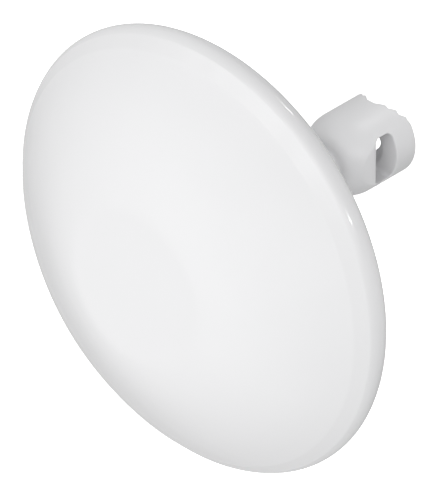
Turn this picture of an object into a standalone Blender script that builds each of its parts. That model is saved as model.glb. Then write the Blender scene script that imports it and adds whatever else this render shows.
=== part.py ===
# Wireless bridge dish antenna: a closed dish with a bell-shaped front cover,
# carried by a ball joint on a serrated saddle that straps to a pole.
#
# Metres, +Z up. The dish looks along -Y, the pole stands at +Y.
# The origin is on the flat land at the foot of the saddle's vee.

import math

import bmesh
import bpy
from mathutils import Matrix, Vector

MM = 0.001

# ---------------------------------------------------------------- dimensions
# saddle (all in millimetres; "d" is measured from the tips towards the dish)
SADDLE_R = 17.30          # outer radius of the saddle
SADDLE_LEN = 21.8         # straight part of the saddle
TIP_ROUND = 1.3           # rounding of the outer rear edge
VEE_DEPTH = 8.0           # depth of the vee down to its flat land
VEE_LAND = 1.9            # half width of the flat land
# crests and roots of the teeth up one side of the vee, (x, d)
VEE_TEETH = [(5.3, 5.2), (6.9, 5.5), (9.0, 3.1), (10.6, 3.4), (12.4, 0.9), (13.3, 1.1), (14.0, 0.0)]
BORE_R = 9.2              # bore at the wall of the strap slot
BORE_TIP_R = 4.8          # bore where it opens into the vee
BORE_TIP_D = 7.4          # end of the taper
SLOT_D0 = 11.5            # strap slot, side next to the tips
SLOT_D1 = 19.3            # strap slot, side next to the dish
SLOT_HALF = 10.4          # half height of the strap slot
SLOT_ROUND = 2.4          # corner rounding of the strap slot
# lead-in pad on the dish side of the slot, (d, half width)
RAMP = [(17.8, 12.0), (19.3, 13.2), (20.6, 14.2), (22.5, 15.0), (25.0, 15.4), (28.0, 15.55), (30.6, 15.55)]
NECK_R = 6.5
NECK_D = 37.5             # where the neck starts
BALL_R = 12.0
BALL_D = 55.0             # ball centre

AXIS_Z = 13.2             # saddle axis above the origin
TIP_Y = VEE_DEPTH         # plane of the tips
BALL_Y = TIP_Y - BALL_D

# ball joint
LINER_IN = 12.30
LINER_OUT = 13.60
LINER_A0 = 51.0           # polar angles from +Y, degrees
LINER_A1 = 112.0
POCKET_R = 13.90
NUT_R = 20.6
NUT_REAR = 10.0           # rear face behind the ball centre
NUT_FRONT = -3.0
NUT_SEAT_A = 57.0         # mouth of the nut, polar angle
NUT_BORE = 17.35
COLLET_R = 17.0
COLLET_REAR = 2.2
GRIPS = 16

# dish
DISH_R = 94.5
RIM_Y = TIP_Y - 103.9     # plane of the widest circle
DISH_Z = AXIS_Z - 6.85    # dish axis
VERTEX = 41.5             # rear vertex behind that plane
FOCAL4 = 233.0            # four times the focal length
REAR_R = 90.5             # radius where the rear rim rounding ends
REAR_B = 22.1             # half depth of the rear rim's ellipse
FRONT_R = 88.4            # radius where the front shoulder starts
FRONT_Z = 9.25            # and its height
RIM_Z = 2.1               # sharpness of the rounding between bevel and widest ring
BEVEL_R = 92.75           # outer radius of the flat bevel round the shoulder
BEVEL_Z = 4.73            # and its height
EDGE_R = 88.0             # where the cover meets the shell, behind the rim
EDGE_GAP = 0.24
WALL = 2.4
STEPS = 60

# rear housing, seen from the pole: x across, "zr" above the saddle axis
H_REAR = BALL_Y - 3.6     # y of its flat rear face
BOSS_R = 31.0
BAY_HALF = 21.0
BAY_LOW = -62.0
BAY_ROUND = 8.0
INNER_Y = BALL_Y - 26.0
LIP = 3.2                 # overlap of the housing over the shell's opening

# ------------------------------------------------------------------- set-up
for ob in list(bpy.data.objects):
    bpy.data.objects.remove(ob, do_unlink=True)
for me in list(bpy.data.meshes):
    bpy.data.meshes.remove(me)

PARTS = bpy.data.collections.new("wireless_bridge_dish_antenna")
CUTTERS = bpy.data.collections.new("cutters")
bpy.context.scene.collection.children.link(PARTS)
bpy.context.scene.collection.children.link(CUTTERS)

# local +Z of a turned piece points along world +Y (rear) or -Y (front)
TO_REAR = Matrix.Rotation(math.radians(-90.0), 4, "X")
TO_FRONT = Matrix.Rotation(math.radians(90.0), 4, "X")


def material(name, color, rough, metal=0.0):
    mat = bpy.data.materials.new(name)
    mat.use_nodes = True
    bsdf = mat.node_tree.nodes["Principled BSDF"]
    bsdf.inputs["Base Color"].default_value = (*color, 1.0)
    bsdf.inputs["Roughness"].default_value = rough
    bsdf.inputs["Metallic"].default_value = metal
    mat.diffuse_color = (*color, 1.0)
    return mat


WHITE = (0.84, 0.84, 0.85)
SHADE = (0.80, 0.80, 0.81)


def link(name, mesh, cutter=False, mat=None):
    ob = bpy.data.objects.new(name, mesh)
    (CUTTERS if cutter else PARTS).objects.link(ob)
    if cutter:
        ob.hide_render = True
        ob.display_type = "WIRE"
    if mat is not None:
        mesh.materials.append(mat)
    return ob


def lathe(name, pts, place, steps=STEPS, closed=False, cutter=False, mat=None):
    """Turns a profile of (radius, height) points about local Z with Screw."""
    mesh = bpy.data.meshes.new(name)
    bm = bmesh.new()
    vs = [bm.verts.new((r * MM, 0.0, h * MM)) for r, h in pts]
    for a, b in zip(vs, vs[1:]):
        bm.edges.new((a, b))
    if closed:
        bm.edges.new((vs[-1], vs[0]))
    bm.to_mesh(mesh)
    bm.free()
    ob = link(name, mesh, cutter, mat)
    ob.matrix_world = place
    mod = ob.modifiers.new("turn", "SCREW")
    mod.axis = "Z"
    mod.angle = math.tau
    mod.steps = steps
    mod.render_steps = steps
    mod.use_merge_vertices = True
    mod.merge_threshold = 0.00001
    mod.use_smooth_shade = True
    return ob


def box(name, lo, hi, bevel=0.0, segs=3, cutter=False, mat=None):
    """Box from a cube primitive, corners in millimetres."""
    mesh = bpy.data.meshes.new(name)
    bm = bmesh.new()
    size = [(b - a) * MM for a, b in zip(lo, hi)]
    mid = [(a + b) * 0.5 * MM for a, b in zip(lo, hi)]
    bmesh.ops.create_cube(bm, size=1.0)
    bmesh.ops.scale(bm, vec=Vector(size), verts=bm.verts)
    bm.to_mesh(mesh)
    bm.free()
    ob = link(name, mesh, cutter, mat)
    ob.location = mid
    if bevel:
        mod = ob.modifiers.new("edge", "BEVEL")
        mod.width = bevel * MM
        mod.segments = segs
        mod.limit_method = "ANGLE"
    return ob


def rod(name, radius, start, end, segs=24, radius2=None, cutter=False, mat=None):
    """Cylinder or cone from a primitive, between two points in millimetres."""
    mesh = bpy.data.meshes.new(name)
    bm = bmesh.new()
    a, b = Vector(start) * MM, Vector(end) * MM
    bmesh.ops.create_cone(
        bm, cap_ends=True, cap_tris=False, segments=segs,
        radius1=radius * MM,
        radius2=(radius if radius2 is None else radius2) * MM,
        depth=(b - a).length)
    for face in bm.faces:
        face.smooth = len(face.verts) == 4
    bm.to_mesh(mesh)
    bm.free()
    ob = link(name, mesh, cutter, mat)
    turn = Vector((0, 0, 1)).rotation_difference((b - a).normalized())
    ob.matrix_world = Matrix.Translation((a + b) * 0.5) @ turn.to_matrix().to_4x4()
    return ob


def prism(name, outline, place, low, high, cutter=False, mat=None):
    """Outline of (x, y) points raised along local Z, in millimetres."""
    mesh = bpy.data.meshes.new(name)
    bm = bmesh.new()
    face = bm.faces.new([bm.verts.new((x * MM, y * MM, low * MM)) for x, y in outline])
    out = bmesh.ops.extrude_face_region(bm, geom=[face])
    top = [v for v in out["geom"] if isinstance(v, bmesh.types.BMVert)]
    bmesh.ops.translate(bm, vec=Vector((0, 0, (high - low) * MM)), verts=top)
    bmesh.ops.recalc_face_normals(bm, faces=bm.faces)
    bm.to_mesh(mesh)
    bm.free()
    ob = link(name, mesh, cutter, mat)
    ob.matrix_world = place
    return ob


def boolean(ob, other, operation="DIFFERENCE"):
    mod = ob.modifiers.new(operation.lower(), "BOOLEAN")
    mod.operation = operation
    mod.object = other
    mod.solver = "EXACT"
    return mod


def arc(cx, cy, r, a0, a1, n):
    """Points on an arc, angles in degrees."""
    return [(cx + r * math.cos(math.radians(a0 + (a1 - a0) * i / n)),
             cy + r * math.sin(math.radians(a0 + (a1 - a0) * i / n)))
            for i in range(n + 1)]


def bezier(p0, p1, p2, p3, n):
    pts = []
    for i in range(n + 1):
        t = i / n
        s = 1.0 - t
        pts.append(tuple(s ** 3 * a + 3 * s * s * t * b + 3 * s * t * t * c + t ** 3 * d
                         for a, b, c, d in zip(p0, p1, p2, p3)))
    return pts


def rounded_rect(x0, y0, x1, y1, r, n=4):
    return (arc(x1 - r, y1 - r, r, 0, 90, n) + arc(x0 + r, y1 - r, r, 90, 180, n)
            + arc(x0 + r, y0 + r, r, 180, 270, n) + arc(x1 - r, y0 + r, r, 270, 360, n))


def at(x, y, z, turn=None):
    move = Matrix.Translation(Vector((x, y, z)) * MM)
    return move if turn is None else move @ turn


# ------------------------------------------------------------ pole mount body
mat_mount = material("mount_plastic", WHITE, 0.42)


def saddle_profile():
    """(radius, height) with height along +Y from the ball centre."""
    def h(d):
        return BALL_D - d
    pts = [(0.0, h(0.0))]
    pts += [(x, h(-y)) for x, y in arc(SADDLE_R - TIP_ROUND, -TIP_ROUND, TIP_ROUND, 90, 0, 3)]
    pts += [(SADDLE_R, h(SADDLE_LEN * 0.5)), (SADDLE_R, h(SADDLE_LEN))]
    # rounded nose
    nose = arc(SADDLE_R - 16.4, -SADDLE_LEN, 16.4, 0, -30, 5)[1:]
    pts += [(x, h(-y)) for x, y in nose]
    x1, y1 = nose[-1]
    pts += [(x, h(-y)) for x, y in
            bezier((x1, y1), (x1 - 1.6, y1 - 2.7), (12.2, -34.4), (9.6, -34.6), 4)[1:]]
    pts += [(x, h(-y)) for x, y in arc(9.6, -34.6 - 3.1, 3.1, 90, 180, 4)[1:]]
    # neck into the ball
    a0 = math.degrees(math.asin(NECK_R / BALL_R))
    pts += [(NECK_R, BALL_R * math.cos(math.radians(a0)))]
    n = 12
    for i in range(1, n + 1):
        a = math.radians(a0 + (180.0 - a0) * i / n)
        pts.append((BALL_R * math.sin(a), BALL_R * math.cos(a)))
    pts[-1] = (0.0, -BALL_R)
    return pts


pole_mount = lathe("pole_mount", saddle_profile(), at(0, BALL_Y, AXIS_Z, TO_REAR),
                   steps=48, mat=mat_mount)


def vee_outline():
    """Serrated vee in the x-y plane, open towards the pole."""
    right = [(VEE_LAND, 0.0)] + [(x, TIP_Y - d) for x, d in VEE_TEETH]
    left = [(-px, py) for px, py in reversed(right)]
    wide = right[-1][0]
    top = TIP_Y + 6.0
    return right + [(wide, top), (-wide, top)] + left


vee = prism("cut_vee", vee_outline(), at(0, 0, AXIS_Z), -25.0, 25.0, cutter=True)
boolean(pole_mount, vee)

# strap slot: rounded window right through along x
slot_turn = Matrix.Rotation(math.radians(90.0), 4, "Z") @ Matrix.Rotation(math.radians(90.0), 4, "X")
slot = prism("cut_strap_slot",
             rounded_rect(TIP_Y - SLOT_D1, -SLOT_HALF, TIP_Y - SLOT_D0, SLOT_HALF, SLOT_ROUND),
             at(0, 0, AXIS_Z, slot_turn), -25.0, 25.0, cutter=True)
boolean(pole_mount, slot)

# lead-in pads on the dish side of the slot
for side, tag in ((1, "right"), (-1, "left")):
    outline = [(side * x, TIP_Y - d) for d, x in RAMP]
    outline += [(side * 24.0, TIP_Y - RAMP[-1][0]), (side * 24.0, TIP_Y - RAMP[0][0])]
    ramp = prism("cut_ramp_" + tag, outline, at(0, 0, AXIS_Z), -SLOT_HALF, SLOT_HALF, cutter=True)
    boolean(pole_mount, ramp)

# bore from the slot to the vee, tapering towards the vee
taper = (BORE_R - BORE_TIP_R) / (SLOT_D0 - BORE_TIP_D)
bore_pts = [(0.0, 9.0), (BORE_TIP_R, 9.0), (BORE_TIP_R, -BORE_TIP_D), (BORE_R, -SLOT_D0),
            (BORE_R + taper * 1.0, -SLOT_D0 - 1.0), (0.0, -SLOT_D0 - 1.0)]
bore = lathe("cut_bore", bore_pts, at(0, TIP_Y, AXIS_Z, TO_REAR), steps=40, cutter=True)
boolean(pole_mount, bore)

# ---------------------------------------------------------------- ball joint
mat_liner = material("liner_plastic", (0.10, 0.10, 0.11), 0.5)
mat_nut = material("nut_plastic", SHADE, 0.45)

liner_pts = arc(0, 0, LINER_OUT, 90 - LINER_A0, 90 - LINER_A1, 6)
liner_pts += arc(0, 0, LINER_IN, 90 - LINER_A1, 90 - LINER_A0, 6)
lathe("ball_liner", liner_pts, at(0, BALL_Y, AXIS_Z, TO_REAR), steps=40, closed=True, mat=mat_liner)

mouth = (POCKET_R * math.sin(math.radians(NUT_SEAT_A)), POCKET_R * math.cos(math.radians(NUT_SEAT_A)))
seat_end = COLLET_REAR + 0.4
seat_a1 = math.degrees(math.acos(seat_end / POCKET_R))
nut_pts = [(mouth[0] + 1.1, NUT_REAR), (16.6, NUT_REAR), (19.2, NUT_REAR - 1.6), (NUT_R, NUT_REAR - 4.2),
           (NUT_R, NUT_FRONT + 1.0), (NUT_R - 1.0, NUT_FRONT), (NUT_BORE, NUT_FRONT),
           (NUT_BORE, seat_end)]
nut_pts += arc(0, 0, POCKET_R, 90 - seat_a1, 90 - NUT_SEAT_A, 3)
lock_nut = lathe("lock_nut", nut_pts, at(0, BALL_Y, AXIS_Z, TO_REAR), steps=48, closed=True, mat=mat_nut)

grip_mesh = bpy.data.meshes.new("cut_grips")
bm = bmesh.new()
for i in range(GRIPS):
    a = math.tau * (i + 0.5) / GRIPS
    ret = bmesh.ops.create_cone(bm, cap_ends=True, segments=8, radius1=1.9 * MM, radius2=1.9 * MM,
                                depth=30 * MM)
    bmesh.ops.translate(bm, verts=ret["verts"],
                        vec=Vector((math.cos(a), math.sin(a), 0)) * (NUT_R + 0.85) * MM)
bm.to_mesh(grip_mesh)
bm.free()
grips = link("cut_grips", grip_mesh, cutter=True)
grips.matrix_world = at(0, BALL_Y, AXIS_Z, TO_REAR)
boolean(lock_nut, grips)

# ------------------------------------------------------------------ the dish
mat_radome = material("radome_plastic", WHITE, 0.30)
mat_shell = material("shell_plastic", SHADE, 0.38)
mat_seal = material("seal_rubber", (0.55, 0.55, 0.56), 0.7)
mat_housing = material("housing_plastic", SHADE, 0.42)

# slope of the cover's bell against the radius
SLOPES = [(0, 0.0), (31, 0.0), (35, 0.205), (39, 0.28), (44, 0.335), (52, 0.425), (60, 0.51),
          (70, 0.60), (78, 0.71), (84, 0.80), (FRONT_R, 0.84)]


def front_z(r):
    """Height of the bell at radius r, from its slopes."""
    z = FRONT_Z
    for (r0, s0), (r1, s1) in zip(SLOPES, SLOPES[1:]):
        a = max(r, r0)
        if a < r1:
            sa = s0 + (s1 - s0) * (a - r0) / (r1 - r0)
            z += (sa + s1) * 0.5 * (r1 - a)
    return z


def bowl(r):
    """Height of the rear paraboloid at radius r."""
    return -VERTEX + r * r / FOCAL4


def front_curve():
    """Cover's outer profile from the apex over the rim to its rear edge, (radius, height)."""
    pts = [(r, front_z(r)) for r in (0, 15, 31, 32.5, 34, 35.5, 37, 39, 42, 46, 51, 56, 61, 66, 71, 76, 80, 84, FRONT_R)]
    for i in range(0, 5):
        t = i / 4.0
        pts.append((BEVEL_R * (1 - t) ** 2 + DISH_R * (2 * t - t * t),
                    BEVEL_Z * (1 - t) ** 2 + RIM_Z * 2 * t * (1 - t)))
    for i in range(1, 4):
        t = math.acos(REAR_R / DISH_R) * i / 3.0
        pts.append((DISH_R * math.cos(t), -REAR_B * math.sin(t)))
    return pts + [(EDGE_R, bowl(EDGE_R))]


def rear_curve():
    """Shell's outer profile from its edge to the rear vertex."""
    return [(r, bowl(r)) for r in (EDGE_R - EDGE_GAP, 83, 77, 70, 62, 54, 45, 36, 26, 15, 0)]


def inset(pts, t):
    """Profile moved inwards by the wall thickness."""
    out = []
    for i, (r, z) in enumerate(pts):
        a = pts[max(i - 1, 0)]
        b = pts[min(i + 1, len(pts) - 1)]
        dx, dz = b[0] - a[0], b[1] - a[1]
        n = math.hypot(dx, dz)
        out.append((max(r + dz / n * t, 0.0), z - dx / n * t))
    return out


front = front_curve()
front_in = inset(front, WALL)[::-1]
front_in[-1] = (0.0, front[0][1] - WALL)
radome = lathe("radome", front + front_in, at(0, RIM_Y, DISH_Z, TO_FRONT), mat=mat_radome)

# seal behind the joint of cover and shell
seal_pts = [(87.03, -4.14), (87.72, -5.06), (85.16, -6.98), (84.47, -6.06)]
lathe("rim_seal", seal_pts, at(0, RIM_Y, DISH_Z, TO_FRONT), closed=True, mat=mat_seal)

rear = rear_curve()
rear_in = inset(rear, WALL)[::-1]
rear_in[0] = (0.0, -VERTEX + WALL)
shell = lathe("reflector_shell", rear_in + rear, at(0, RIM_Y, DISH_Z, TO_FRONT), mat=mat_shell)


def footprint(inset_by):
    """Boss and port bay outline as seen from the pole, (x, zr)."""
    r = BOSS_R - inset_by
    w = BAY_HALF - inset_by
    low = BAY_LOW + inset_by
    c = max(BAY_ROUND - inset_by, 2.0)
    join = math.degrees(math.asin(w / r))
    pts = arc(0, 0, r, -90 + join, 270 - join, 40)
    pts += arc(-w + c, low + c, c, 180, 270, 5)
    pts += arc(w - c, low + c, c, 270, 360, 5)
    return pts


# a prism along world y, with its outline in world x-z
ALONG_Y = Matrix.Rotation(math.radians(90.0), 4, "X")


def housing_prism(name, inset_by, y0, y1, cutter=False, mat=None):
    return prism(name, footprint(inset_by), at(0, 0, AXIS_Z, ALONG_Y), -y1, -y0, cutter=cutter, mat=mat)


housing = housing_prism("radio_housing", 0.0, BALL_Y - 24.0, H_REAR, mat=mat_housing)
edge = housing.modifiers.new("edge", "BEVEL")
edge.width = 1.6 * MM
edge.segments = 3
edge.limit_method = "ANGLE"
edge.angle_limit = math.radians(60)

# everything inside the dish's outer surface is trimmed off the outer part
trim_pts = [(0.0, 60.0), (92.0, 60.0), (92.0, -12.0)]
trim_pts += [(r, bowl(r) - 0.35) for r in (83, 77, 70, 62, 54, 45, 36, 26, 15, 0)]
trim = lathe("cut_trim", trim_pts, at(0, RIM_Y, DISH_Z, TO_FRONT), steps=STEPS, cutter=True)
boolean(housing, trim)
core = housing_prism("add_core", LIP, INNER_Y, BALL_Y - 10.0, cutter=True)
boolean(housing, core, "UNION")
opening = housing_prism("cut_shell_opening", LIP - 0.35, BALL_Y - 42.0, BALL_Y + 8.0, cutter=True)
boolean(shell, opening)

# port bay pocket
pocket_a = box("cut_pocket_a", (-13, BALL_Y - 15.6, AXIS_Z - 70), (13, BALL_Y + 3, AXIS_Z - 38), cutter=True)
pocket_b = box("cut_pocket_b", (-13, BALL_Y - 22, AXIS_Z - 56), (13, BALL_Y + 3, AXIS_Z - 38), cutter=True)
boolean(housing, pocket_a)
boolean(housing, pocket_b)

# ball socket: the collet with the front part of the spherical pocket
collet_pts = [(COLLET_R, COLLET_REAR), (COLLET_R, -10.0), (COLLET_R, -22.0), (0.0, -22.0)]
pocket = [(POCKET_R * math.sin(math.radians(a)), POCKET_R * math.cos(math.radians(a)))
          for a in [180 - i * (180 - math.degrees(math.acos(COLLET_REAR / POCKET_R))) / 10 for i in range(11)]]
pocket[0] = (0.0, -POCKET_R)
lathe("ball_socket", pocket + collet_pts, at(0, BALL_Y, AXIS_Z, TO_REAR), steps=40, mat=mat_housing)
well = rod("cut_socket_well", COLLET_R + 0.3, (0, BALL_Y - 22.3, AXIS_Z), (0, BALL_Y + 8, AXIS_Z), segs=40, cutter=True)
boolean(housing, well)

# screws in counterbores
mat_steel = material("screw_steel", (0.62, 0.62, 0.60), 0.35, 1.0)
SCREWS = [(-22.5, 14.0), (22.5, 14.0), (-17.2, -33.5), (17.2, -33.5)]
for i, (x, zr) in enumerate(SCREWS, 1):
    cb = rod("cut_counterbore_%d" % i, 3.3, (x, H_REAR - 2.4, AXIS_Z + zr), (x, H_REAR + 3, AXIS_Z + zr),
             segs=20, cutter=True)
    boolean(housing, cb)
    screw = rod("housing_screw_%d" % i, 2.9, (x, H_REAR - 2.1, AXIS_Z + zr), (x, H_REAR - 0.3, AXIS_Z + zr),
                segs=20, mat=mat_steel)
    for k, (w, h) in enumerate(((3.2, 0.7), (0.7, 3.2))):
        cross = box("cut_cross_%d_%d" % (i, k), (x - w / 2, H_REAR - 1.3, AXIS_Z + zr - h / 2),
                    (x + w / 2, H_REAR + 1, AXIS_Z + zr + h / 2), cutter=True)
        boolean(screw, cross)

# status lenses
mat_lens = material("lens_plastic", (0.72, 0.76, 0.78), 0.2)
for i in range(6):
    x = -12.5 + 5.0 * i
    zr = -30.0
    hole = rod("cut_lens_%d" % (i + 1), 1.6, (x, H_REAR - 2.2, AXIS_Z + zr), (x, H_REAR + 2, AXIS_Z + zr),
               segs=16, cutter=True)
    boolean(housing, hole)
    rod("led_lens_%d" % (i + 1), 1.3, (x, H_REAR - 1.9, AXIS_Z + zr), (x, H_REAR + 0.15, AXIS_Z + zr),
        segs=16, mat=mat_lens)

# breather plug
vent_hole = rod("cut_vent", 3.1, (-17.2, H_REAR - 2.0, AXIS_Z - 47), (-17.2, H_REAR + 2, AXIS_Z - 47),
                segs=20, cutter=True)
boolean(housing, vent_hole)
vent = rod("vent_plug", 2.8, (-17.2, H_REAR - 1.7, AXIS_Z - 47), (-17.2, H_REAR + 0.5, AXIS_Z - 47),
           segs=20, radius2=2.4, mat=material("vent_plastic", (0.70, 0.70, 0.71), 0.5))

# port cover
mat_cover = material("cover_plastic", WHITE, 0.42)
cover = box("port_cover", (-12.7, BALL_Y - 5.9, AXIS_Z - 61.7), (12.7, H_REAR, AXIS_Z - 38.3), mat=mat_cover)
foot = box("add_cover_foot", (-12.7, BALL_Y - 15.2, AXIS_Z - 61.7), (12.7, BALL_Y - 5, AXIS_Z - 59.6), cutter=True)
boolean(cover, foot, "UNION")
notch = rod("cut_cable_notch", 3.2, (0, BALL_Y - 13.2, AXIS_Z - 66), (0, BALL_Y - 13.2, AXIS_Z - 58), segs=24, cutter=True)
boolean(cover, notch)
notch_b = box("cut_cable_notch_b", (-3.2, BALL_Y - 18, AXIS_Z - 66), (3.2, BALL_Y - 13.2, AXIS_Z - 58), cutter=True)
boolean(cover, notch_b)
for k in range(3):
    z = AXIS_Z - 44.5 - 3.0 * k
    rib = box("add_grip_rib_%d" % k, (-6.5, H_REAR - 0.6, z - 0.6), (6.5, H_REAR + 0.6, z + 0.6), cutter=True)
    boolean(cover, rib, "UNION")

# network socket in the bay, its mouth downwards
mat_jack = material("jack_metal", (0.66, 0.66, 0.64), 0.35, 1.0)
jack = box("ethernet_jack", (-8.0, BALL_Y - 21.4, AXIS_Z - 52.0), (8.0, BALL_Y - 7.6, AXIS_Z - 38.4), bevel=0.4, segs=1, mat=mat_jack)
mouth_cut = box("cut_jack_mouth", (-6.0, BALL_Y - 19.6, AXIS_Z - 60), (6.0, BALL_Y - 11.4, AXIS_Z - 41.5), cutter=True)
boolean(jack, mouth_cut)
key_cut = box("cut_jack_key", (-3.2, BALL_Y - 12, AXIS_Z - 60), (3.2, BALL_Y - 9.4, AXIS_Z - 41.5), cutter=True)
boolean(jack, key_cut)
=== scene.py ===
import math

import bmesh
import bpy
import numpy as np
from mathutils import Matrix, Vector


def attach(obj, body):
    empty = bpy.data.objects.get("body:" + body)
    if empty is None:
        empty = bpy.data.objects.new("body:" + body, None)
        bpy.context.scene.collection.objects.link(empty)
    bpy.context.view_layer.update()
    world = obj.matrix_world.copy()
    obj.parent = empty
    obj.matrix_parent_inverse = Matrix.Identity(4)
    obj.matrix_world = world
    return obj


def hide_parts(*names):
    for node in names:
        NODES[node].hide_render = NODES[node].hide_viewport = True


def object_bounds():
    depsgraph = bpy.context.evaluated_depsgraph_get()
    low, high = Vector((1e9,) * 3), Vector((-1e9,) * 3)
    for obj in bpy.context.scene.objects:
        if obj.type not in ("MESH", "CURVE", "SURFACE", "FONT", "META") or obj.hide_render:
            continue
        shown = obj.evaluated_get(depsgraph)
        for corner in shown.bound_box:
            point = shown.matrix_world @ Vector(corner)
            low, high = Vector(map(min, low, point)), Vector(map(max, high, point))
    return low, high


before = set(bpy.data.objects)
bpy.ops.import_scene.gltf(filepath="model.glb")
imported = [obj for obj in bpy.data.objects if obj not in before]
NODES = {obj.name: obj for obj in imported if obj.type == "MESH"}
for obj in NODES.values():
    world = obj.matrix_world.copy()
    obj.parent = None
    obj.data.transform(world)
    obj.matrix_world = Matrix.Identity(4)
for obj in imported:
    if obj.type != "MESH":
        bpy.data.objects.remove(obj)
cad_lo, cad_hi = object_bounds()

MM = 0.001

# --------------------------------------------------- dimensions, millimetres
TIP_Y = 8.0
AXIS_Z = 13.2
BALL_Y = TIP_Y - 55.0
BALL_R = 12.0
H_REAR = BALL_Y - 3.6
RIM_Y = TIP_Y - 103.9
DISH_Z = AXIS_Z - 6.85
DISH_R = 94.5
VERTEX, FOCAL4 = 41.5, 233.0
REAR_R, REAR_B = 90.5, 22.1
FRONT_R, FRONT_Z = 88.4, 9.25
BEVEL_R, BEVEL_Z, RIM_Z = 92.75, 4.73, 2.1
EDGE_R, EDGE_GAP = 88.0, 0.24
WALL = 2.4

SADDLE_R = 17.30
TEETH = [(1.9, 8.0), (5.3, 5.2), (6.9, 5.5), (9.0, 3.1), (10.6, 3.4), (12.4, 0.9), (13.3, 1.1), (14.0, 0.0)]
BORE = [(4.8, 7.4), (9.2, 11.5)]
NOSE_D = 21.8
SLOT_D0, SLOT_D1, SLOT_HALF = 11.5, 19.3, 10.4
SLOT_ROUND = (2.4, 1.3)            # corners next to the tips, next to the dish
RAMP = [(17.8, 12.0), (19.3, 13.2), (20.6, 14.2), (22.5, 15.0), (25.0, 15.4), (28.0, 15.55), (30.6, 15.55)]

# ------------------------------------------------------------------- camera
AZ, EL = 43.2, 32.7
LENS = 1000.0
PX_MM = 0.3892                     # one pixel at the dish, in millimetres
SCALE_F = LENS * 500.0 / 36.0      # focal length in pixels
TARGET = Vector((0.0, -69.0, 8.0))
TARGET_PX = (249.98 + 0.5, 217.858 + 0.5)

a, e = math.radians(AZ), math.radians(EL)
back = Vector((math.sin(a) * math.cos(e), -math.cos(a) * math.cos(e), math.sin(e)))
right = Vector((math.cos(a), math.sin(a), 0.0))
up = back.cross(right)
cam_data = bpy.data.cameras.new("camera")
cam = bpy.data.objects.new("camera", cam_data)
scene = bpy.context.scene
scene.collection.objects.link(cam)
scene.camera = cam
cam_data.lens = LENS
cam_data.sensor_width = 36.0
dist = SCALE_F * PX_MM
pos = TARGET + back * dist - right * (TARGET_PX[0] - 219.5) * PX_MM + up * (TARGET_PX[1] - 250.0) * PX_MM
cam.location = pos * MM
cam.rotation_mode = "QUATERNION"
cam.rotation_quaternion = back.to_track_quat("Z", "Y")
cam_data.clip_start = 0.5
cam_data.clip_end = 60.0

scene.view_settings.view_transform = "Standard"
scene.view_settings.look = "None"


# -------------------------------------------------------------- node helpers
def new_material(name):
    mat = bpy.data.materials.new(name)
    mat.use_nodes = True
    nt = mat.node_tree
    nt.nodes.clear()
    return mat, nt


def node(nt, kind, **values):
    n = nt.nodes.new(kind)
    for k, v in values.items():
        setattr(n, k, v)
    return n


# -------------------------------------------------------------------- studio
def studio():
    """Soft tent: bright all round the dish's face, falling off behind and below."""
    world = bpy.data.worlds.new("studio")
    scene.world = world
    world.use_nodes = True
    nt = world.node_tree
    nt.nodes.clear()
    out = node(nt, "ShaderNodeOutputWorld")
    bg = node(nt, "ShaderNodeBackground")
    bg_cam = node(nt, "ShaderNodeBackground")
    bg.inputs["Color"].default_value = (1, 1, 1, 1)
    bg_cam.inputs["Color"].default_value = (1, 1, 1, 1)
    bg_cam.inputs["Strength"].default_value = 1.0
    lp = node(nt, "ShaderNodeLightPath")
    mix = node(nt, "ShaderNodeMixShader")
    tc = node(nt, "ShaderNodeTexCoord")
    total = None
    for direction, lo, hi, v0, v1 in LOBES:
        dot = node(nt, "ShaderNodeVectorMath", operation="DOT_PRODUCT")
        dot.inputs[1].default_value = Vector(direction).normalized()
        mr = node(nt, "ShaderNodeMapRange", interpolation_type="SMOOTHSTEP")
        mr.inputs["From Min"].default_value = lo
        mr.inputs["From Max"].default_value = hi
        mr.inputs["To Min"].default_value = v0
        mr.inputs["To Max"].default_value = v1
        nt.links.new(tc.outputs["Generated"], dot.inputs[0])
        nt.links.new(dot.outputs["Value"], mr.inputs["Value"])
        if total is None:
            total = mr.outputs["Result"]
        else:
            add = node(nt, "ShaderNodeMath", operation="ADD")
            nt.links.new(total, add.inputs[0])
            nt.links.new(mr.outputs["Result"], add.inputs[1])
            total = add.outputs[0]
    nt.links.new(total, bg.inputs["Strength"])
    nt.links.new(lp.outputs["Is Camera Ray"], mix.inputs["Fac"])
    nt.links.new(bg.outputs[0], mix.inputs[1])
    nt.links.new(bg_cam.outputs[0], mix.inputs[2])
    nt.links.new(mix.outputs[0], out.inputs["Surface"])


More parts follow.
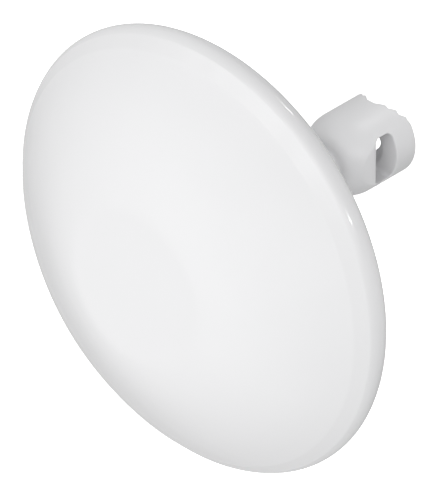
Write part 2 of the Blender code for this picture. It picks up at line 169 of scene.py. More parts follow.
LOBES = [
    ((0, 0, 1), -1.0, 1.0, 0.08, 0.08),
    ((-0.447, 0.468, 0.762), 0.600, 1.000, 0.0, 0.111),
    ((-0.748, 0.185, 0.637), 0.600, 1.000, 0.0, 0.025),
    ((-0.262, -0.766, 0.588), 0.600, 1.000, 0.0, 0.416),
    ((-0.746, 0.502, 0.438), 0.600, 1.000, 0.0, 0.307),
    ((-0.579, -0.717, 0.387), 0.600, 1.000, 0.0, 0.184),
    ((-0.950, 0.024, 0.312), 0.600, 1.000, 0.0, 0.251),
    ((-0.109, -0.959, 0.262), 0.600, 1.000, 0.0, 0.093),
    ((0.280, 0.946, 0.162), 0.600, 1.000, 0.0, 0.085),
    ((0.434, -0.890, 0.137), 0.600, 1.000, 0.0, 0.048),
    ((-0.982, -0.190, -0.012), 0.600, 1.000, 0.0, 0.048),
    ((0.595, 0.803, -0.038), 0.600, 1.000, 0.0, 0.688),
    ((0.610, -0.770, -0.188), 0.600, 1.000, 0.0, 0.022),
    ((-0.455, 0.843, -0.288), 0.600, 1.000, 0.0, 0.272),
    ((0.290, -0.875, -0.387), 0.600, 1.000, 0.0, 0.435),
    ((0.875, 0.207, -0.438), 0.600, 1.000, 0.0, 0.235),
    ((-0.498, -0.733, -0.462), 0.600, 1.000, 0.0, 0.494),
    ((-0.126, 0.864, -0.488), 0.600, 1.000, 0.0, 0.124),
    ((-0.842, -0.048, -0.538), 0.600, 1.000, 0.0, 0.064),
    ((0.358, -0.603, -0.712), 0.600, 1.000, 0.0, 0.306),
    ((-0.647, 0.195, -0.738), 0.600, 1.000, 0.0, 0.206),
    ((0.583, 0.281, -0.762), 0.600, 1.000, 0.0, 0.078),
    ((0.076, -0.402, -0.913), 0.600, 1.000, 0.0, 0.045),
    ((-0.105, -0.117, -0.988), 0.600, 1.000, 0.0, 0.289),
    ((0.301, -0.953, -0.016), 0.930, 0.985, 0.0, 0.269),
    ((0.226, -0.946, 0.234), 0.930, 0.985, 0.0, 0.036),
    ((0.034, -0.742, 0.670), 0.930, 0.985, 0.0, 0.153),
    ((-0.069, -0.560, 0.826), 0.930, 0.985, 0.0, 0.580),
    ((0.260, -0.642, 0.722), 0.930, 0.985, 0.0, 0.962),
    ((0.134, -0.470, 0.873), 0.930, 0.985, 0.0, 0.443),
    ((0.576, -0.613, 0.540), 0.930, 0.985, 0.0, 1.259),
    ((0.461, -0.491, 0.740), 0.930, 0.985, 0.0, 0.917),
    ((0.815, -0.503, 0.286), 0.930, 0.985, 0.0, 0.903),
    ((0.745, -0.415, 0.522), 0.930, 0.985, 0.0, 0.178),
    ((0.933, -0.361, -0.016), 0.930, 0.985, 0.0, 0.209),
    ((-0.674, -0.464, 0.575), 0.970, 0.995, 0.0, 0.240),
    ((-0.469, -0.564, 0.679), 0.970, 0.995, 0.0, 0.693),
    ((-0.237, -0.647, 0.725), 0.970, 0.995, 0.0, 0.578),
    ((0.005, -0.709, 0.705), 0.970, 0.995, 0.0, 0.261),
]
studio()

# soft lamps on the mount, from above and behind and from the right: (direction, watts, cone)
KEY_AT = Vector((0.0, -0.016, 0.0132))
KEYS = [((0.14, 0.58, 0.80), 6.4, 15.0), ((0.55, 0.70, 0.42), 0.8, 13.0), ((0.90, -0.16, 0.38), 6.0, 7.4)]
for i, (direction, watts, cone) in enumerate(KEYS):
    direction = Vector(direction).normalized()
    key_data = bpy.data.lights.new("mount_key_%d" % (i + 1), "SPOT")
    key_data.energy = watts
    key_data.spot_size = math.radians(cone)
    key_data.spot_blend = 0.4
    key_data.shadow_soft_size = 0.05
    key = bpy.data.objects.new("mount_key_%d" % (i + 1), key_data)
    scene.collection.objects.link(key)
    key.location = KEY_AT + direction * 0.9
    key.rotation_mode = "QUATERNION"
    key.rotation_quaternion = direction.to_track_quat("Z", "Y")
    key.visible_camera = False

floor_mesh = bpy.data.meshes.new("floor")
bm = bmesh.new()
bmesh.ops.create_grid(bm, x_segments=2, y_segments=2, size=30.0)
bm.to_mesh(floor_mesh)
bm.free()
floor = bpy.data.objects.new("floor", floor_mesh)
scene.collection.objects.link(floor)
floor.location = (0, 0, -6.0)       # it hangs on a pole, well above the floor
mat, nt = new_material("pale_floor")
out = node(nt, "ShaderNodeOutputMaterial")
p = node(nt, "ShaderNodeBsdfPrincipled")
p.inputs["Base Color"].default_value = (0.9, 0.9, 0.9, 1)
p.inputs["Roughness"].default_value = 0.9
p.inputs["Emission Color"].default_value = (1, 1, 1, 1)
p.inputs["Emission Strength"].default_value = 0.75
nt.links.new(p.outputs[0], out.inputs[0])
floor_mesh.materials.append(mat)
floor.visible_diffuse = False
floor.visible_glossy = False
floor.visible_shadow = False


# ----------------------------------------------------------------- materials
def plastic(name, color, rough, bump=0.03, grain=900.0, tint=0.012, vary=0.05, coat=0.0,
            coat_rough=0.1, spec=0.5, metal=0.0, scuff=0.0, trans=0.0):
    """Moulded surface: faint colour drift, uneven gloss, fine skin texture, rare scuffs."""
    mat, nt = new_material(name)
    out = node(nt, "ShaderNodeOutputMaterial")
    p = node(nt, "ShaderNodeBsdfPrincipled")
    tc = node(nt, "ShaderNodeTexCoord")

    def noise(scale, detail, rough_=0.5):
        n = node(nt, "ShaderNodeTexNoise")
        n.inputs["Scale"].default_value = scale
        n.inputs["Detail"].default_value = detail
        n.inputs["Roughness"].default_value = rough_
        nt.links.new(tc.outputs["Object"], n.inputs["Vector"])
        return n.outputs["Fac"]

    mix = node(nt, "ShaderNodeMix", data_type="RGBA")
    mix.inputs["A"].default_value = (*[c * (1.0 - tint) for c in color], 1)
    mix.inputs["B"].default_value = (*[min(c * (1.0 + tint), 1.0) for c in color], 1)
    nt.links.new(noise(26.0, 3.0), mix.inputs["Factor"])
    nt.links.new(mix.outputs["Result"], p.inputs["Base Color"])

    mr = node(nt, "ShaderNodeMapRange")
    mr.inputs["From Min"].default_value = 0.3
    mr.inputs["From Max"].default_value = 0.7
    mr.inputs["To Min"].default_value = rough - vary
    mr.inputs["To Max"].default_value = rough + vary
    nt.links.new(noise(70.0, 5.0, 0.6), mr.inputs["Value"])
    rough_out = mr.outputs["Result"]
    if scuff:
        # thin handling marks, stretched one way
        mp = node(nt, "ShaderNodeMapping")
        mp.inputs["Scale"].default_value = (1.0, 0.15, 0.4)
        mp.inputs["Rotation"].default_value = (0.3, 0.5, 0.9)
        nt.links.new(tc.outputs["Object"], mp.inputs["Vector"])
        sc = node(nt, "ShaderNodeTexNoise")
        sc.inputs["Scale"].default_value = 420.0
        sc.inputs["Detail"].default_value = 6.0
        nt.links.new(mp.outputs["Vector"], sc.inputs["Vector"])
        cr = node(nt, "ShaderNodeMapRange")
        cr.inputs["From Min"].default_value = 0.62
        cr.inputs["From Max"].default_value = 0.72
        cr.inputs["To Max"].default_value = scuff
        nt.links.new(sc.outputs["Fac"], cr.inputs["Value"])
        add = node(nt, "ShaderNodeMath", operation="ADD")
        nt.links.new(rough_out, add.inputs[0])
        nt.links.new(cr.outputs["Result"], add.inputs[1])
        rough_out = add.outputs[0]
    nt.links.new(rough_out, p.inputs["Roughness"])

    b = node(nt, "ShaderNodeBump")
    b.inputs["Strength"].default_value = bump
    b.inputs["Distance"].default_value = 0.0002
    nt.links.new(noise(grain, 2.0), b.inputs["Height"])
    nt.links.new(b.outputs["Normal"], p.inputs["Normal"])
    p.inputs["Specular IOR Level"].default_value = spec
    p.inputs["Coat Weight"].default_value = coat
    p.inputs["Coat Roughness"].default_value = coat_rough
    p.inputs["Metallic"].default_value = metal
    p.inputs["Transmission Weight"].default_value = trans
    nt.links.new(p.outputs[0], out.inputs[0])
    return mat


M = {
    "radome": plastic("radome_skin", (0.885, 0.885, 0.893), 0.15, bump=0.02, grain=1400, scuff=0.008),
    "shell": plastic("shell_skin", (0.80, 0.80, 0.806), 0.36, bump=0.04, grain=1100, scuff=0.06),
    "mount": plastic("mount_skin", (0.70, 0.70, 0.708), 0.45, bump=0.06, grain=1700, scuff=0.08),
    "nut": plastic("nut_skin", (0.78, 0.78, 0.79), 0.42, bump=0.06, grain=1700, scuff=0.08),
    "housing": plastic("housing_skin", (0.80, 0.80, 0.806), 0.40, bump=0.07, grain=1300, scuff=0.06),
    "cover": plastic("cover_skin", (0.81, 0.81, 0.817), 0.40, bump=0.07, grain=1300, scuff=0.06),
    "liner": plastic("liner_skin", (0.035, 0.035, 0.038), 0.5, bump=0.1, tint=0.1),
    "seal": plastic("seal_rubber", (0.30, 0.30, 0.31), 0.75, bump=0.15, tint=0.06),
    "screw": plastic("zinc_plate", (0.62, 0.62, 0.60), 0.33, bump=0.10, grain=2600, tint=0.06, metal=1.0, scuff=0.1),
    "lens": plastic("light_pipe", (0.70, 0.76, 0.80), 0.22, bump=0.02, tint=0.03, trans=0.35),
    "vent": plastic("vent_grey", (0.42, 0.42, 0.43), 0.6, bump=0.15, tint=0.05),
    "jack": plastic("jack_shield", (0.66, 0.66, 0.64), 0.32, bump=0.08, grain=2200, tint=0.05, metal=1.0),
}
M_GOLD = plastic("contact_gold", (0.83, 0.62, 0.25), 0.28, bump=0.05, tint=0.05, metal=1.0)
M_INSERT = plastic("jack_insert", (0.03, 0.03, 0.033), 0.5, bump=0.08, tint=0.1)


# ------------------------------------------------------------- mesh helpers
COLL = bpy.data.collections.new("looks")
scene.collection.children.link(COLL)
CUT = bpy.data.collections.new("cutters")


def to_object(name, verts, faces, mat=None, sharp=32.0, cutter=False):
    """Closed mesh from points in millimetres in the world frame."""
    me = bpy.data.meshes.new(name)
    me.from_pydata((np.asarray(verts) * MM).tolist(), [], faces)
    bm = bmesh.new()
    bm.from_mesh(me)
    bmesh.ops.recalc_face_normals(bm, faces=bm.faces)
    for f in bm.faces:
        f.smooth = True
    bm.to_mesh(me)
    bm.free()
    me.set_sharp_from_angle(angle=math.radians(sharp))
    ob = bpy.data.objects.new(name, me)
    (CUT if cutter else COLL).objects.link(ob)
    if mat is not None:
        me.materials.append(mat)
    return ob


def turn_to(axis, x, y, z, h):
    """Local (x, y, height) to the world: height runs to the front, the rear or up."""
    if axis == "front":
        return np.stack([x, -h, y], -1)
    if axis == "rear":
        return np.stack([x, h, -y], -1)
    return np.stack([x, y, h], -1)


def revolve(name, profile, centre, axis, segs=192, closed=False, mat=None, sharp=32.0, cutter=False, radius=None):
    """Turned body. radius(r, h, angle) may shape it round the turn."""
    verts, rings = [], []
    ang = np.arange(segs) * (math.tau / segs)
    ca, sa = np.cos(ang), np.sin(ang)
    count = 0
    for r, h in profile:
        if r < 1e-6:
            verts.append(turn_to(axis, np.zeros(1), np.zeros(1), 0, np.full(1, h)))
            rings.append([count])
            count += 1
        else:
            rr = np.full(segs, r) if radius is None else radius(r, h, ang)
            verts.append(turn_to(axis, rr * ca, rr * sa, 0, np.full(segs, h)))
            rings.append(list(range(count, count + segs)))
            count += segs
    faces = []
    pairs = list(zip(rings, rings[1:]))
    if closed:
        pairs.append((rings[-1], rings[0]))
    for p0, p1 in pairs:
        n = max(len(p0), len(p1))
        for i in range(n):
            j = (i + 1) % n
            if len(p0) == 1:
                faces.append((p0[0], p1[i], p1[j]))
            elif len(p1) == 1:
                faces.append((p0[i], p1[0], p0[j]))
            else:
                faces.append((p0[i], p1[i], p1[j], p0[j]))
    v = np.concatenate(verts) + np.array(centre)
    return to_object(name, v, faces, mat, sharp, cutter)


def prism(name, outline, plane, low, high, mat=None, sharp=32.0, cutter=False):
    """Outline raised along the plane's normal: "xz" along y, "xy" along z, "yz" along x."""
    n = len(outline)
    verts = []
    for lev in (low, high):
        for u, v in outline:
            verts.append({"xz": (u, lev, v), "xy": (u, v, lev), "yz": (lev, u, v)}[plane])
    faces = [tuple(range(n)), tuple(range(2 * n - 1, n - 1, -1))]
    faces += [(i, n + i, n + (i + 1) % n, (i + 1) % n) for i in range(n)]
    return to_object(name, verts, faces, mat, sharp, cutter)


def block(name, lo, hi, mat=None, cutter=False):
    (x0, y0, z0), (x1, y1, z1) = lo, hi
    return prism(name, [(x0, z0), (x1, z0), (x1, z1), (x0, z1)], "xz", y0, y1, mat, 32.0, cutter)


def bevel(ob, width, segs=4, angle=40.0):
    m = ob.modifiers.new("bevel", "BEVEL")
    m.width = width * MM
    m.segments = segs
    m.limit_method = "ANGLE"
    m.angle_limit = math.radians(angle)
    m.harden_normals = False
    return m


def boolean(ob, other, operation="DIFFERENCE"):
    m = ob.modifiers.new(operation.lower(), "BOOLEAN")
    m.operation = operation
    m.object = other
    m.solver = "EXACT"


def bake(ob, sharp=32.0):
    """Applies the modifiers and sets smooth shading with sharp corners."""
    dg = bpy.context.evaluated_depsgraph_get()
    dg.update()
    me = bpy.data.meshes.new_from_object(ob.evaluated_get(dg))
    mats = [m for m in ob.data.materials]
    ob.modifiers.clear()
    bm = bmesh.new()
    bm.from_mesh(me)
    bmesh.ops.remove_doubles(bm, verts=bm.verts, dist=1e-7)
    bmesh.ops.dissolve_degenerate(bm, edges=bm.edges, dist=1e-7)
    for f in bm.faces:
        f.smooth = True
        f.material_index = 0
    bm.to_mesh(me)
    bm.free()
    me.materials.clear()
    if mats:
        me.materials.append(mats[0])
    me.set_sharp_from_angle(angle=math.radians(sharp))
    ob.data = me
    return ob


def arc(cx, cy, r, a0, a1, n):
    t = [math.radians(a0 + (a1 - a0) * i / n) for i in range(n + 1)]
    return [(cx + r * math.cos(q), cy + r * math.sin(q)) for q in t]


def bezier(p0, p1, p2, p3, n):
    out = []
    for i in range(n + 1):
        t = i / n
        s = 1.0 - t
        out.append(tuple(s ** 3 * q0 + 3 * s * s * t * q1 + 3 * s * t * t * q2 + t ** 3 * q3
                         for q0, q1, q2, q3 in zip(p0, p1, p2, p3)))
    return out


def soften(poly, r, n=5, closed=False):
    """Rounds each corner of a profile with radius r, less where the sides are short."""
    out = []
    m = len(poly)
    for i, p in enumerate(poly):
        if not closed and i in (0, m - 1):
            out.append(p)
            continue
        q0, q1 = Vector(poly[i - 1]), Vector(poly[(i + 1) % m])
        c = Vector(p)
        d0, d1 = (q0 - c), (q1 - c)
        l0, l1 = d0.length, d1.length
        d0.normalize()
        d1.normalize()
        ang = d0.angle(d1)
        if ang > math.radians(172):
            out.append(p)
            continue
        t = min(r / math.tan(ang / 2), l0 * 0.45, l1 * 0.45)
        s0, s1 = c + d0 * t, c + d1 * t
        for k in range(n + 1):
            u = k / n
            out.append(tuple(s0 * (1 - u) ** 2 + c * 2 * u * (1 - u) + s1 * u * u))
    return out


def finish(ob, body, slot, *replaced):
    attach(ob, body)
    if replaced:
        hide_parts(*replaced)


# ------------------------------------------------------------------ the dish
APEX = RIM_Y - cad_lo[1] / MM      # height of the cover's apex
RGRID = np.linspace(0.0, FRONT_R, 896)
_s = np.interp(RGRID, [0, 31, 35, 39, 44, 52, 60, 70, 78, 84, FRONT_R],
               [0, 0.0, 0.205, 0.28, 0.335, 0.425, 0.51, 0.60, 0.71, 0.80, 0.84])
_k = np.exp(-0.5 * (np.arange(-60, 61) * (RGRID[1] - RGRID[0]) / 1.1) ** 2)
_k /= _k.sum()
_pad = np.concatenate([2 * _s[0] - _s[60:0:-1], _s, 2 * _s[-1] - _s[-2:-62:-1]])
_s = np.convolve(_pad, _k, mode="valid")
_z = np.concatenate([[0.0], np.cumsum((_s[1:] + _s[:-1]) * 0.5 * (RGRID[1] - RGRID[0]))])
_z = FRONT_Z + (_z[-1] - _z) * (APEX - FRONT_Z) / _z[-1]


def front_z(r):
    return float(np.interp(r, RGRID, _z))


def inset(pts, t):
    out = []
    for i, (r, z) in enumerate(pts):
        p, q = pts[max(i - 1, 0)], pts[min(i + 1, len(pts) - 1)]
        dx, dz = q[0] - p[0], q[1] - p[1]
        n = math.hypot(dx, dz)
        out.append((max(r + dz / n * t, 0.0), z - dx / n * t))
    return out


def bowl(r):
    return -VERTEX + r * r / FOCAL4


def rim(r_from, half, steps, sign):
    """Quarter-turn of the rim's ellipse between the equator and radius r_from."""
    t0 = math.acos(r_from / DISH_R)
    return [(DISH_R * math.cos(t0 * i / steps), sign * half * math.sin(t0 * i / steps)) for i in range(steps + 1)]


def shoulder(n_flat, n_round):
    """From the shoulder over the flat bevel and its rounding to the equator."""
    pts = [(FRONT_R + (BEVEL_R - FRONT_R) * i / n_flat, FRONT_Z + (BEVEL_Z - FRONT_Z) * i / n_flat)
           for i in range(n_flat + 1)]
    for i in range(1, n_round + 1):
        t = i / n_round
        pts.append((BEVEL_R * (1 - t) ** 2 + DISH_R * (2 * t - t * t),
                    BEVEL_Z * (1 - t) ** 2 + RIM_Z * 2 * t * (1 - t)))
    return pts


SEGS = 288
rs = [0.0, 2.0, 4.0] + list(np.arange(6.0, 88.3, 0.7))
front = [(r, front_z(r)) for r in rs] + shoulder(16, 24) + rim(REAR_R, REAR_B, 18, -1)[1:]
front += [(r, bowl(r)) for r in (90.0, 89.4, 88.8, 88.3)]
coarse = [(r, front_z(r)) for r in (0, 15, 31, 32.5, 34, 35.5, 37, 39, 42, 46, 51, 56, 61, 66, 71, 76, 80, 84)]
coarse += shoulder(1, 4) + rim(REAR_R, REAR_B, 6, -1)[1:] + [(EDGE_R, bowl(EDGE_R))]
inner = inset(coarse, WALL)[::-1]
inner[-1] = (0.0, front[0][1] - WALL)
edge = soften([front[-1], (EDGE_R, bowl(EDGE_R)), inner[0]], 0.22, 6)[1:-1]
radome = revolve("radome_look", front + edge + inner, (0, RIM_Y, DISH_Z), "front", SEGS, mat=M["radome"], sharp=40)

shell_r = EDGE_R - EDGE_GAP
rear = [(shell_r, bowl(shell_r))] + [(r, bowl(r)) for r in list(np.arange(87.2, 4.0, -1.5)) + [2.5, 0.0]]
rear_c = [(r, bowl(r)) for r in (shell_r, 83, 77, 70, 62, 54, 45, 36, 26, 15, 0)]
rear_in = inset(rear_c, WALL)[::-1]
rear_in[0] = (0.0, -VERTEX + WALL)
lip = soften([rear_in[-1], rear[0], rear[1]], 0.22, 6)[1:-1]
shell = revolve("shell_look", rear_in + lip + rear[1:], (0, RIM_Y, DISH_Z), "front", SEGS, mat=M["shell"], sharp=40)


def footprint(by, n=72, fillet=True):
    """Boss and port bay as seen from the pole, (x, world z)."""
    r, w, low = 31.0 - by, 21.0 - by, -62.0 + by
    c = max(8.0 - by, 2.0)
    join = math.degrees(math.asin(w / r))
    pts = arc(0, 0, r, -90 + join, 270 - join, n)
    pts += arc(-w + c, low + c, c, 180, 270, 12)
    pts += arc(w - c, low + c, c, 270, 360, 12)
    return [(x, z + AXIS_Z) for x, z in pts]


opening = prism("cut_opening", footprint(2.85), "xz", BALL_Y - 42, BALL_Y + 8, cutter=True)
boolean(shell, opening)
bake(shell, 40)
finish(radome, "dish", "radome", "radome")
finish(shell, "dish", "shell", "reflector_shell")
NODES["rim_seal"].data.materials.clear()
NODES["rim_seal"].data.materials.append(M["seal"])


# ------------------------------------------------------------------- housing
housing = prism("housing_look", footprint(0.0), "xz", BALL_Y - 24.0, H_REAR, mat=M["housing"])
bevel(housing, 1.6, 6, 50)
trim_pts = [(0.0, 60.0), (92.0, 60.0), (92.0, -12.0)]
trim_pts += [(r, bowl(r) - 0.3) for r in list(np.arange(83, 4, -4.0)) + [0]]
trim = revolve("cut_trim", trim_pts, (0, RIM_Y, DISH_Z), "front", 192, cutter=True)
boolean(housing, trim)
boolean(housing, prism("add_core", footprint(3.2), "xz", BALL_Y - 26, BALL_Y - 10, cutter=True), "UNION")
boolean(housing, block("cut_a", (-13, BALL_Y - 15.6, AXIS_Z - 70), (13, BALL_Y + 3, AXIS_Z - 38), cutter=True))
boolean(housing, block("cut_b", (-13, BALL_Y - 22, AXIS_Z - 56), (13, BALL_Y + 3, AXIS_Z - 38), cutter=True))
boolean(housing, revolve("cut_well", [(0, -22.3), (17.3, -22.3), (17.3, 8), (0, 8)], (0, BALL_Y, AXIS_Z), "rear", 96,
                         cutter=True))
# shallow ring groove round the nut
ring = soften([(24.2, 1.0), (24.2, -0.45), (23.2, -0.45), (23.2, 1.0)], 0.2, 3)
boolean(housing, revolve("cut_ring", ring, (0, H_REAR, AXIS_Z), "rear", 96, closed=True, cutter=True))
SCREWS = [(-22.5, 14.0), (22.5, 14.0), (-17.2, -33.5), (17.2, -33.5)]
for i, (x, zr) in enumerate(SCREWS, 1):
    cb = [(0, -2.4), (3.3, -2.4), (3.3, -0.35), (3.75, 0.1), (3.75, 3), (0, 3)]
    boolean(housing, revolve("cut_cb_%d" % i, cb, (x, H_REAR, AXIS_Z + zr), "rear", 48, cutter=True))
LENS_X = [-12.5 + 5.0 * i for i in range(6)]
for i, x in enumerate(LENS_X, 1):
    hole = [(0, -2.2), (1.55, -2.2), (1.55, -0.15), (1.8, 0.1), (1.8, 2), (0, 2)]
    boolean(housing, revolve("cut_lens_%d" % i, hole, (x, H_REAR, AXIS_Z - 30), "rear", 32, cutter=True))
vent_hole = [(0, -2.0), (3.05, -2.0), (3.05, -0.2), (3.35, 0.1), (3.35, 2), (0, 2)]
boolean(housing, revolve("cut_vent", vent_hole, (-17.2, H_REAR, AXIS_Z - 47), "rear", 48, cutter=True))
bake(housing, 32)
finish(housing, "dish", "housing", "radio_housing")

# ball socket and the friction shell
collet = [(13.9 * math.sin(math.radians(q)), 13.9 * math.cos(math.radians(q))) for q in np.linspace(180, 81.1, 28)]
collet[0] = (0.0, -13.9)
collet += soften([(13.73, 2.2), (17.0, 2.2), (17.0, -10.0)], 0.4, 4)[1:] + [(17.0, -22.0), (0.0, -22.0)]
socket = revolve("socket_look", collet, (0, BALL_Y, AXIS_Z), "rear", 128, mat=M["housing"])
finish(socket, "dish", "housing", "ball_socket")
liner_pts = soften(arc(0, 0, 13.6, 39, -22, 14) + arc(0, 0, 12.3, -22, 39, 14), 0.25, 3, closed=True)
liner = revolve("liner_look", liner_pts, (0, BALL_Y, AXIS_Z), "rear", 128, closed=True, mat=M["liner"])
finish(liner, "liner", "liner", "ball_liner")

# ------------------------------------------------------------------ lock nut
NUT_R, GRIPS = 20.6, 16


def scallop(r, h, ang):
    step = math.tau / GRIPS
    d = (ang % step) - step / 2
    c = NUT_R + 0.85
    s = c * np.sin(d)
    hit = np.abs(s) < 1.9
    cut = np.where(hit, c * np.cos(d) - np.sqrt(np.maximum(1.9 ** 2 - s * s, 0.0)), 1e3)
    # soft blend between wall and groove
    k = 0.45
    g = np.maximum(k - np.abs(r - cut), 0.0)
    return np.minimum(r, cut) - g * g / (4 * k)


seat = math.degrees(math.acos(2.6 / 13.9))
mouth = (13.9 * math.sin(math.radians(57)), 13.9 * math.cos(math.radians(57)))
nut_pts = soften([(mouth[0] + 1.1, 10.0), (16.6, 10.0), (19.2, 8.4), (20.6, 5.8), (20.6, -2.0), (19.6, -3.0),
                  (17.35, -3.0), (17.35, 2.6)], 0.7, 5)
fine = [nut_pts[0]]
for q in nut_pts[1:]:
    p = fine[-1]
    n = max(1, int(math.hypot(q[0] - p[0], q[1] - p[1]) / 0.8))
    fine += [(p[0] + (q[0] - p[0]) * i / n, p[1] + (q[1] - p[1]) * i / n) for i in range(1, n + 1)]
fine += arc(0, 0, 13.9, 90 - seat, 90 - 57, 10)
nut = revolve("lock_nut_look", fine, (0, BALL_Y, AXIS_Z), "rear", GRIPS * 26, closed=True, mat=M["nut"], sharp=38,
              radius=lambda r, h, ang: scallop(r, h, ang) if r > 18.0 else np.full(len(ang), r))
finish(nut, "nut", "nut", "lock_nut")


# -------------------------------------------------------------------- saddle
def poly_sdf(u, v, poly):
    """Signed distance to a closed polygon, negative inside."""
    p = np.asarray(poly, dtype=float)
    best = np.full(u.shape, 1e9)
    inside = np.zeros(u.shape, dtype=bool)
    for (ax, ay), (bx, by) in zip(p, np.roll(p, -1, axis=0)):
        ex, ey = bx - ax, by - ay
        wx, wy = u - ax, v - ay
        t = np.clip((wx * ex + wy * ey) / (ex * ex + ey * ey), 0.0, 1.0)
        dx, dy = wx - ex * t, wy - ey * t
        np.minimum(best, dx * dx + dy * dy, out=best)
        if ay != by:
            cond = (ay > v) != (by > v)
            inside ^= cond & (u < ex * (v - ay) / ey + ax)
    d = np.sqrt(best)
    return np.where(inside, -d, d)


def smax(p, q, k):
    h = np.maximum(k - np.abs(p - q), 0.0)
    return np.maximum(p, q) + h * h / (4 * k)


def saddle_outline():
    """(radius, d) from the tips to the far side of the ball."""
    pts = [(x, y) for x, y in arc(SADDLE_R - 1.3, 1.3, 1.3, -90, 0, 6)]
    pts += [(SADDLE_R, NOSE_D)]
    nose = [(x, -y) for x, y in arc(SADDLE_R - 16.4, -NOSE_D, 16.4, 0, -30, 12)[1:]]
    pts += nose
    x1, y1 = nose[-1]
    pts += bezier((x1, y1), (x1 - 1.6, y1 + 2.7), (12.2, 34.4), (9.6, 34.6), 8)[1:]
    pts += [(x, -y) for x, y in arc(9.6, -34.6 - 3.1, 3.1, 90, 180, 7)[1:]]
    a0 = math.degrees(math.asin(6.5 / BALL_R))
    pts += [(BALL_R * math.sin(math.radians(q)), 55.0 - BALL_R * math.cos(math.radians(q)))
            for q in np.linspace(a0, 180, 36)]
    pts[-1] = (0.0, 67.0)
    return pts


OUT = saddle_outline()
BODY = OUT + [(-r, d) for r, d in OUT[-2::-1]]
VEE = [(-x, d) for x, d in TEETH[::-1]] + TEETH
VEE = VEE + [(TEETH[-1][0], -8.0), (-TEETH[-1][0], -8.0)]
taper = (BORE[1][0] - BORE[0][0]) / (BORE[1][1] - BORE[0][1])
B = [(BORE[0][0], -9.0), BORE[0], BORE[1], (BORE[1][0] + taper, BORE[1][1] + 1.0)]
BORE_POLY = B + [(-r, d) for r, d in B[::-1]]
RAMP_POLY = [(x, d) for d, x in RAMP] + [(26.0, RAMP[-1][0]), (26.0, RAMP[0][0])]


def saddle_field(p):
    """Signed distance field of the saddle, edges rounded; p in millimetres, world frame."""
    x = p[:, 0]
    d = TIP_Y - p[:, 1]
    z = p[:, 2] - AXIS_Z
    rho = np.sqrt(x * x + z * z)
    f = poly_sdf(rho, d, BODY)
    near = d < 34.0
    xn, dn, zn, rn, fn = x[near], d[near], z[near], rho[near], f[near]
    fn = smax(fn, -poly_sdf(xn, dn, VEE), 0.45)
    mid = (SLOT_D0 + SLOT_D1) / 2
    rr = np.where(dn > mid, SLOT_ROUND[1], SLOT_ROUND[0])
    qx = np.abs(zn) - SLOT_HALF + rr
    qy = np.abs(dn - mid) - (SLOT_D1 - SLOT_D0) / 2 + rr
    slot = np.hypot(np.maximum(qx, 0), np.maximum(qy, 0)) + np.minimum(np.maximum(qx, qy), 0) - rr
    fn = smax(fn, -slot, 0.7)
    ramp = smax(poly_sdf(np.abs(xn), dn, RAMP_POLY), np.abs(zn) - SLOT_HALF, 1.6)
    fn = smax(fn, -ramp, 0.35)
    fn = smax(fn, -poly_sdf(rn, dn, BORE_POLY), 0.6)
    f[near] = fn
    return f


def saddle(voxel=0.34):
    src = NODES["pole_mount"].data.copy()
    bm = bmesh.new()
    bm.from_mesh(src)
    bmesh.ops.remove_doubles(bm, verts=bm.verts, dist=1e-6)
    bm.to_mesh(src)
    bm.free()
    ob = bpy.data.objects.new("saddle_look", src)
    COLL.objects.link(ob)
    m = ob.modifiers.new("remesh", "REMESH")
    m.mode = "VOXEL"
    m.voxel_size = voxel * MM
    dg = bpy.context.evaluated_depsgraph_get()
    dg.update()
    me = bpy.data.meshes.new_from_object(ob.evaluated_get(dg))
    ob.modifiers.clear()
    co = np.empty(len(me.vertices) * 3, dtype=np.float32)
    me.vertices.foreach_get("co", co)
    p = co.reshape(-1, 3).astype(float) / MM
    h = 0.02
    for _ in range(3):
        f = saddle_field(p)
        g = np.stack([saddle_field(p + np.eye(3)[i] * h) - f for i in range(3)], -1) / h
        g2 = np.maximum((g * g).sum(1), 0.25)
        step = f / g2
        p -= np.clip(step, -0.4, 0.4)[:, None] * g
    me.vertices.foreach_set("co", (p * MM).astype(np.float32).ravel())
    for poly in me.polygons:
        poly.use_smooth = True
    me.materials.clear()
    me.materials.append(M["mount"])
    me.update()
    ob.data = me
    return ob


saddle_ob = saddle()
finish(saddle_ob, "mount", "mount", "pole_mount")

# -------------------------------------------------- screws, lenses, vent, bay
for i, (x, zr) in enumerate(SCREWS, 1):
    c = (x, H_REAR, AXIS_Z + zr)
    head = soften([(0.0, -0.3), (2.9, -0.3), (2.9, -2.1), (0.0, -2.1)], 0.35, 4)
    s = revolve("screw_look_%d" % i, head, c, "rear", 64, mat=M["screw"])
    for k, (w, hgt) in enumerate(((3.1, 0.62), (0.62, 3.1))):
        boolean(s, block("cut_x_%d_%d" % (i, k), (c[0] - w / 2, H_REAR - 1.35, c[2] - hgt / 2),
                         (c[0] + w / 2, H_REAR + 1, c[2] + hgt / 2), cutter=True))
    bake(s)
    finish(s, "dish", "screw", "housing_screw_%d" % i)

for i, x in enumerate(LENS_X, 1):
    dome = [(0.0, 0.15), (0.45, 0.12), (0.85, 0.02), (1.12, -0.14), (1.3, -0.36), (1.3, -1.9), (0.0, -1.9)]
    ln = revolve("lens_look_%d" % i, dome, (x, H_REAR, AXIS_Z - 30), "rear", 40, mat=M["lens"])
    finish(ln, "dish", "lens", "led_lens_%d" % i)

vent_pts = soften([(0.0, 0.1), (1.3, 0.1), (1.3, 0.5), (2.4, 0.5), (2.8, -0.1), (2.8, -1.7), (0.0, -1.7)], 0.15, 3)
vent = revolve("vent_look", vent_pts, (-17.2, H_REAR, AXIS_Z - 47), "rear", 64, mat=M["vent"])
finish(vent, "dish", "vent", "vent_plug")

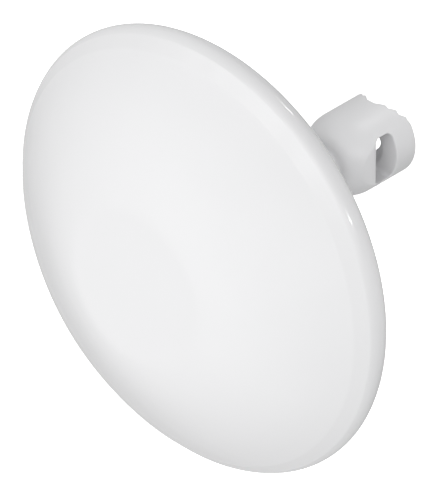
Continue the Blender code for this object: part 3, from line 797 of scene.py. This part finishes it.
cover = block("cover_look", (-12.7, BALL_Y - 5.9, AXIS_Z - 61.7), (12.7, H_REAR, AXIS_Z - 38.3), mat=M["cover"])
boolean(cover, block("add_foot", (-12.7, BALL_Y - 15.2, AXIS_Z - 61.7), (12.7, BALL_Y - 5, AXIS_Z - 59.6), cutter=True),
        "UNION")
nb = arc(0, BALL_Y - 13.2, 3.2, 0, 180, 24) + [(-3.2, BALL_Y - 20), (3.2, BALL_Y - 20)]
boolean(cover, prism("cut_notch", nb, "xy", AXIS_Z - 66, AXIS_Z - 58, cutter=True))
bevel(cover, 0.4, 4, 50)
for k in range(3):
    z = AXIS_Z - 44.5 - 3.0 * k
    rib = prism("add_rib_%d" % k, arc(5.9, z, 0.6, -90, 90, 10) + arc(-5.9, z, 0.6, 90, 270, 10), "xz",
                H_REAR - 0.6, H_REAR + 0.6, cutter=True)
    bevel(rib, 0.25, 3, 60)
    boolean(cover, rib, "UNION")
bake(cover)
finish(cover, "dish", "cover", "port_cover")

jack = block("jack_look", (-8.0, BALL_Y - 21.4, AXIS_Z - 52.0), (8.0, BALL_Y - 7.6, AXIS_Z - 38.4), mat=M["jack"])
bevel(jack, 0.5, 4, 50)
boolean(jack, block("cut_mouth", (-6.0, BALL_Y - 19.6, AXIS_Z - 60), (6.0, BALL_Y - 11.4, AXIS_Z - 41.5), cutter=True))
boolean(jack, block("cut_key", (-3.2, BALL_Y - 12, AXIS_Z - 60), (3.2, BALL_Y - 9.4, AXIS_Z - 41.5), cutter=True))
bake(jack)
finish(jack, "dish", "jack", "ethernet_jack")
# eight spring contacts on the wall away from the key
verts, faces = [], []
for k in range(8):
    x = -3.57 + 1.02 * k
    prof = [(-19.5, -50.5), (-18.4, -47.0), (-18.9, -42.0), (-19.3, -42.0), (-18.9, -47.0), (-19.6, -50.2)]
    n = len(verts)
    for dx in (-0.2, 0.2):
        verts += [(x + dx, BALL_Y + py, AXIS_Z + pz) for py, pz in prof]
    faces += [tuple(n + i for i in range(6)), tuple(n + 11 - i for i in range(6))]
    faces += [(n + i, n + 6 + i, n + 6 + (i + 1) % 6, n + (i + 1) % 6) for i in range(6)]
contacts = to_object("jack_contacts", verts, faces, M_GOLD)
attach(contacts, "dish")

for name, ob in NODES.items():
    if name == "rim_seal":
        continue
